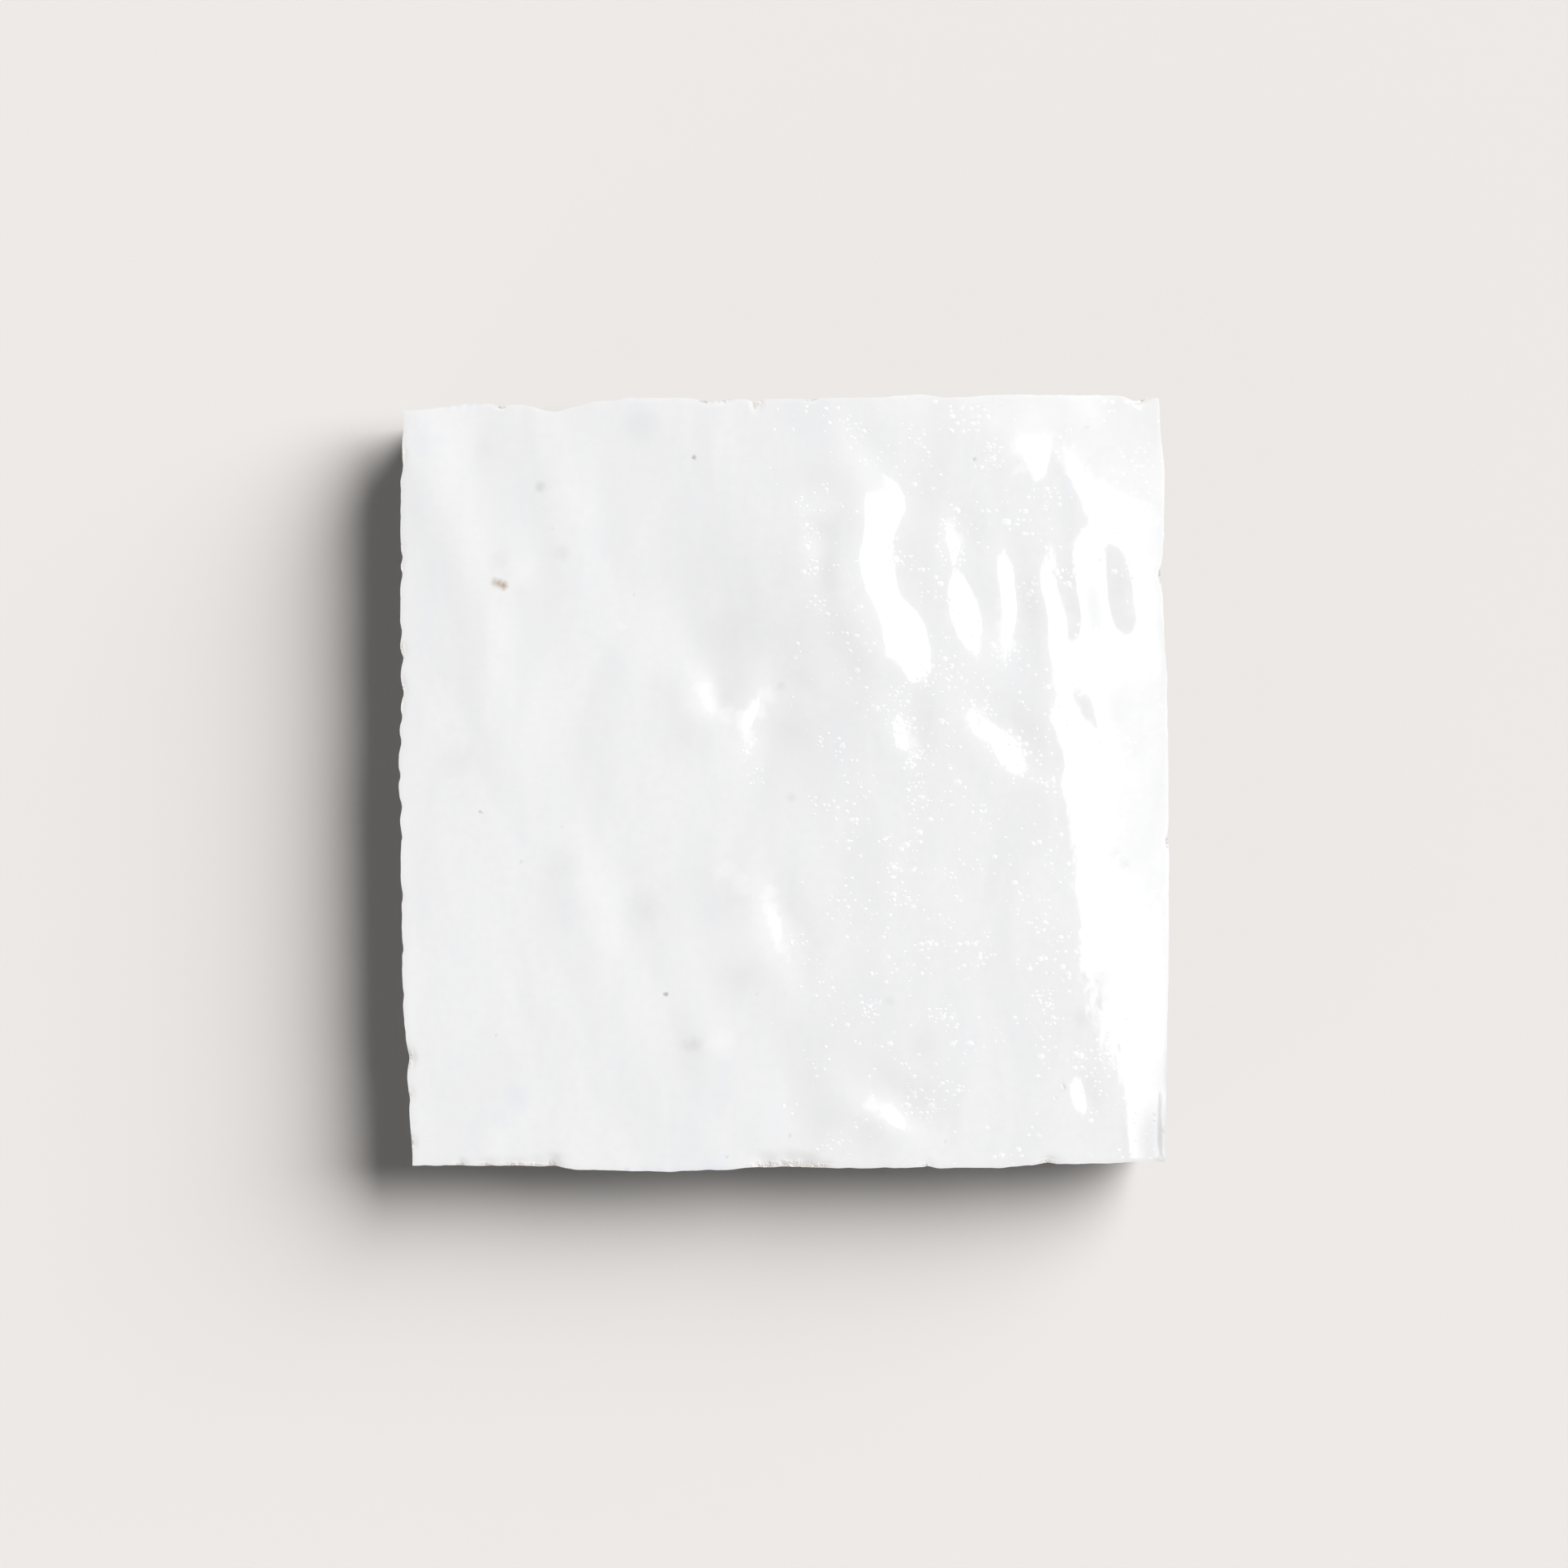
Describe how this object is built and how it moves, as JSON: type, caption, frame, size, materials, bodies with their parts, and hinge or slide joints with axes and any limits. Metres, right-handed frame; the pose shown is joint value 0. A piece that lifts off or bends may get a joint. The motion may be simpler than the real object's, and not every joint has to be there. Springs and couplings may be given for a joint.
{
  "type": "zellige tile",
  "caption": "Hand-cut square clay wall tile with a glossy white glazed, gently undulating face, nibbled arrises and flanks that slope in to a flat clay back.",
  "frame": {"origin": "middle of the tile's outer box, on the plane of its flat back", "axes": "+Z out of the glazed face, +X and +Y along the sides; seen from the face, +X is the picture's right and +Y its top"},
  "size_m": [0.1, 0.101, 0.0113],
  "materials": {
    "white_glaze": "gloss"
  },
  "bodies": {
    "root": {"zellige_tile": "white_glaze"}
  },
  "joints": []
}
